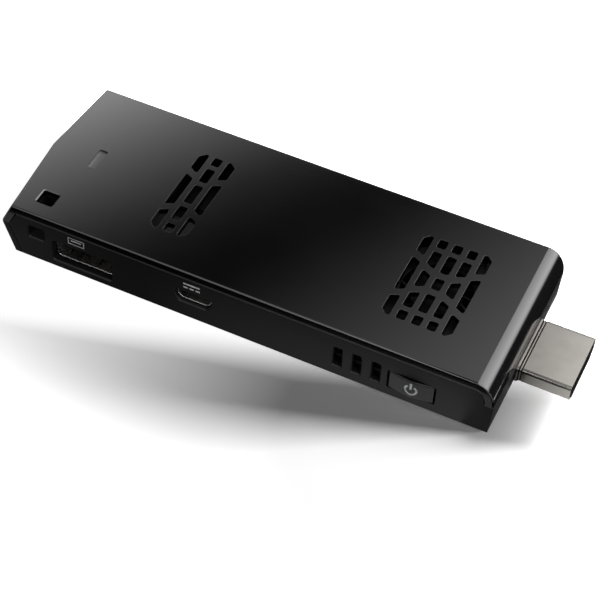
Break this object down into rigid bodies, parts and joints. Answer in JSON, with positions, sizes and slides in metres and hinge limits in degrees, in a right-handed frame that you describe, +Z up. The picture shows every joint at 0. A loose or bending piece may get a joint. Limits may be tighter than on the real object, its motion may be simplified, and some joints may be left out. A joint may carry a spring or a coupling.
{
  "type": "stick computer with display plug",
  "caption": "Black stick computer with a metal display plug on one end, side ports, a power button and vents.",
  "frame": {"origin": "on the underside, half way between the case's two ends and its two long sides", "axes": "+X towards the display plug, -Y towards the long side with the ports and the button, +Z up"},
  "size_m": [0.1143, 0.0382, 0.0125],
  "materials": {
    "bearing_brass": "sintered",
    "board_laminate": "solder mask",
    "button_plastic": "satin",
    "capacitor_ceramic": "matt",
    "case_plastic": "fine matt texture",
    "coil_copper": "enamelled copper",
    "contact_metal": "gold plated",
    "cover_plastic": "gloss",
    "dark_plastic": "matt",
    "dark_rubber": "matt",
    "die_silicon": "polished",
    "magnet_ferrite": "matt",
    "pad_rubber": "matt",
    "pale_plastic": "matt",
    "plug_metal": "nickel plated",
    "port_metal": "tin plated",
    "screw_steel": "dark plated",
    "spreader_aluminium": "satin",
    "window_plastic": "frosted"
  },
  "bodies": {
    "case": {"top_cover": "cover_plastic", "bottom_case": "case_plastic", "led_window": "window_plastic", "hdmi_shell": "plug_metal", "hdmi_insulator": "dark_plastic", "hdmi_contacts": "contact_metal", "usb_a_shell": "port_metal", "usb_a_tongue": "dark_plastic", "usb_a_contacts": "contact_metal", "micro_usb_shell": "port_metal", "micro_usb_tongue": "dark_plastic", "micro_usb_contacts": "contact_metal", "micro_sd_shell": "port_metal", "micro_sd_base": "dark_plastic", "micro_sd_contacts": "contact_metal", "switch_body": "dark_plastic", "motherboard": "board_laminate", "board_screws": "screw_steel", "fan_screws": "screw_steel", "spreader_screws": "screw_steel", "processor_package": "board_laminate", "processor_die": "die_silicon", "memory_chips": "dark_plastic", "storage_chip": "dark_plastic", "power_chip": "dark_plastic", "power_inductors": "dark_plastic", "crystal": "port_metal", "capacitors": "capacitor_ceramic", "status_led": "pale_plastic", "wireless_board": "board_laminate", "wireless_shield": "port_metal", "antenna_jacks": "contact_metal", "main_antenna": "board_laminate", "aux_antenna": "board_laminate", "main_antenna_lead": "dark_rubber", "aux_antenna_lead": "dark_rubber", "thermal_pad": "pad_rubber", "heat_spreader": "spreader_aluminium", "fan_housing": "dark_plastic", "fan_cover": "port_metal", "fan_bearing": "bearing_brass", "fan_stator": "screw_steel", "stator_coils": "coil_copper", "fan_connector": "pale_plastic", "fan_lead": "dark_rubber"},
    "button": {"power_button": "button_plastic"},
    "plunger": {"switch_plunger": "pale_plastic"},
    "fan_rotor": {"fan_impeller": "dark_plastic", "rotor_magnet": "magnet_ferrite", "fan_shaft": "screw_steel"}
  },
  "joints": [
    {"name": "button_press", "type": "slide", "parent": "case", "child": "button", "axis": [0, 1, 0], "range_m": [0, 0.0003], "stiffness_N_per_m": 300},
    {"name": "plunger_press", "type": "slide", "parent": "case", "child": "plunger", "axis": [0, 1, 0], "range_m": [0, 0.0003]},
    {"name": "fan_spin", "type": "hinge", "parent": "case", "child": "fan_rotor", "pos_m": [0.0327, 0, 0.0059], "axis": [0, 0, 1], "continuous": true}
  ],
  "couplings": [
    {"joint": "plunger_press", "follows": "button_press", "ratio": 1}
  ]
}
